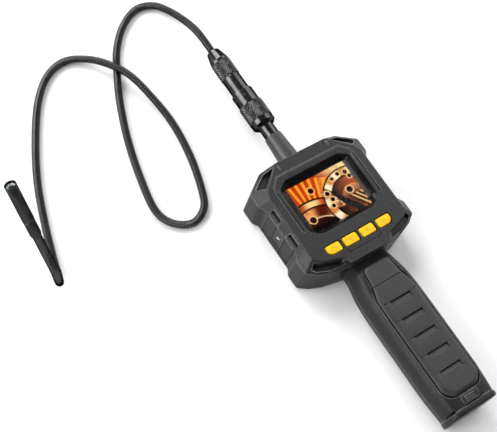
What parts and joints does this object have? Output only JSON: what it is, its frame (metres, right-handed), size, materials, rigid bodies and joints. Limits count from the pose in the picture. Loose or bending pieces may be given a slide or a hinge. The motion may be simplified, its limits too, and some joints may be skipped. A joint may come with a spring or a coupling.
{
  "type": "inspection camera",
  "caption": "Handheld inspection camera: a handset with colour screen and buttons, and a self-holding gooseneck probe with a lit camera tip on a screw-on plug.",
  "frame": {"origin": "on the back plane of the handset, under the middle of its length and width", "axes": "+Y from the handle to the probe socket, +Z out of the screen, +X to the right as seen when reading the screen"},
  "size_m": [0.2552, 0.3816, 0.0956],
  "materials": {
    "shell": "moulded ABS with a fine spark texture",
    "soft_rubber": "matte soft-touch rubber",
    "button": "satin silicone-coated yellow",
    "screen": "clear acrylic window",
    "panel": "lit colour display",
    "tin_plate": "tinned sheet",
    "board": "solder-masked circuit board",
    "silicone": "translucent silicone keypad",
    "black_plastic": "moulded nylon",
    "connector": "black-anodised, knurled, glossy",
    "gold_contact": "gold-plated pins",
    "red_wire": "PVC insulation",
    "battery": "printed sleeve",
    "screw_steel": "zinc-plated",
    "tube": "black-coated spiral-ribbed tube, glossy",
    "camera_metal": "satin black-anodised aluminium",
    "led": "white LEDs on a white board",
    "lens": "clear optical window"
  },
  "bodies": {
    "handset": {"front_shell": "shell", "rear_shell": "shell", "handle_front": "shell", "housing_screws": "screw_steel", "screen_window": "screen", "lcd_panel": "panel", "lcd_frame": "tin_plate", "main_board": "board", "keypad_membrane": "silicone", "port_jack": "black_plastic", "grip_pad": "soft_rubber", "cap_hinge_pin": "screw_steel", "battery_carrier": "black_plastic", "batteries": "battery", "battery_contacts": "tin_plate", "neck_boot": "soft_rubber", "socket_body": "connector", "socket_insert": "black_plastic", "socket_pins": "gold_contact", "signal_lead": "black_plastic", "power_lead": "red_wire", "plug_seal": "soft_rubber", "plug_sleeve": "connector", "plug_insert": "black_plastic", "clamp_nut": "connector", "nose_cone": "connector", "gooseneck": "tube", "camera_ferrule": "camera_metal", "camera_housing": "camera_metal", "camera_module": "black_plastic", "led_ring": "led", "lens_window": "lens"},
    "button_1": {"button_left_outer": "button"},
    "button_2": {"button_left_inner": "button"},
    "button_3": {"button_right_inner": "button"},
    "button_4": {"button_right_outer": "button"},
    "nut": {"coupling_nut": "connector"},
    "flap": {"port_flap": "soft_rubber"},
    "cap": {"end_cap": "shell"},
    "latch": {"cap_latch": "shell"}
  },
  "joints": [
    {"name": "button_1_press", "type": "slide", "parent": "handset", "child": "button_1", "axis": [0, 0, -1], "range_m": [0, 0.0008], "stiffness_N_per_m": 600, "springref_m": -0.0005},
    {"name": "button_2_press", "type": "slide", "parent": "handset", "child": "button_2", "axis": [0, 0, -1], "range_m": [0, 0.0008], "stiffness_N_per_m": 600, "springref_m": -0.0005},
    {"name": "button_3_press", "type": "slide", "parent": "handset", "child": "button_3", "axis": [0, 0, -1], "range_m": [0, 0.0008], "stiffness_N_per_m": 600, "springref_m": -0.0005},
    {"name": "button_4_press", "type": "slide", "parent": "handset", "child": "button_4", "axis": [0, 0, -1], "range_m": [0, 0.0008], "stiffness_N_per_m": 600, "springref_m": -0.0005},
    {"name": "nut_turn", "type": "hinge", "parent": "handset", "child": "nut", "pos_m": [0, 0.1325, 0.0134], "axis": [0, 1, 0], "continuous": true},
    {"name": "flap_open", "type": "hinge", "parent": "handset", "child": "flap", "pos_m": [-0.04355, 0.0385, 0.009], "axis": [0, -1, 0], "range_deg": [0, 100]},
    {"name": "cap_open", "type": "hinge", "parent": "handset", "child": "cap", "pos_m": [0, -0.1261, 0.003], "axis": [1, 0, 0], "range_deg": [0, 80]},
    {"name": "latch_press", "type": "slide", "parent": "handset", "child": "latch", "axis": [0, 0, -1], "range_m": [0, 0.0012], "stiffness_N_per_m": 500, "springref_m": -0.0005}
  ]
}
